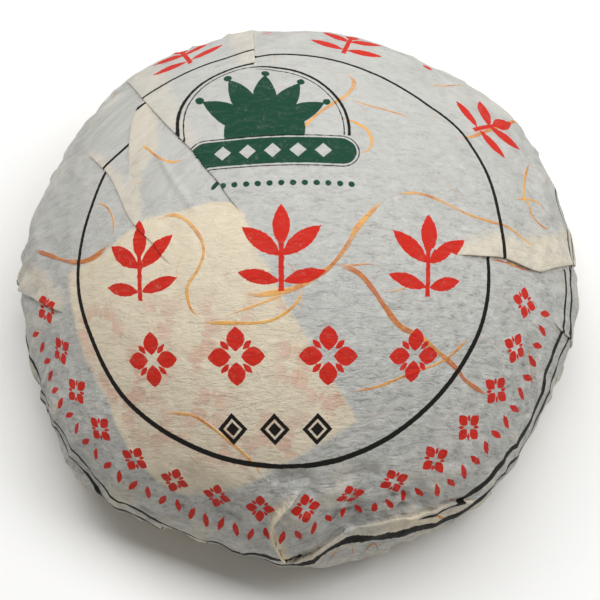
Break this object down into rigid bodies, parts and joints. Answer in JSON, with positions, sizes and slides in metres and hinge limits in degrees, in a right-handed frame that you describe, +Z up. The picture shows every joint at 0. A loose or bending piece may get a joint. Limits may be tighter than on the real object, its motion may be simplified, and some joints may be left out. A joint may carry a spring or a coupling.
{
  "type": "paper-wrapped pu-erh tuocha",
  "caption": "Dome-shaped cake of pressed tea with a hollow underside, wrapped in thin printed paper that is pleated at the rim and twisted in the hollow.",
  "frame": {"origin": "on the table under the middle of the outline, at the centre of the ring that the cake stands on", "axes": "+Z up through the top of the dome, -Y towards the front of the print, +X to its right"},
  "size_m": [0.0832, 0.0814, 0.043],
  "materials": {
    "wrapper_paper": "matte thin long-fibred paper with a red, green and black print"
  },
  "bodies": {
    "root": {"wrapped_tuocha": "wrapper_paper"}
  },
  "joints": []
}
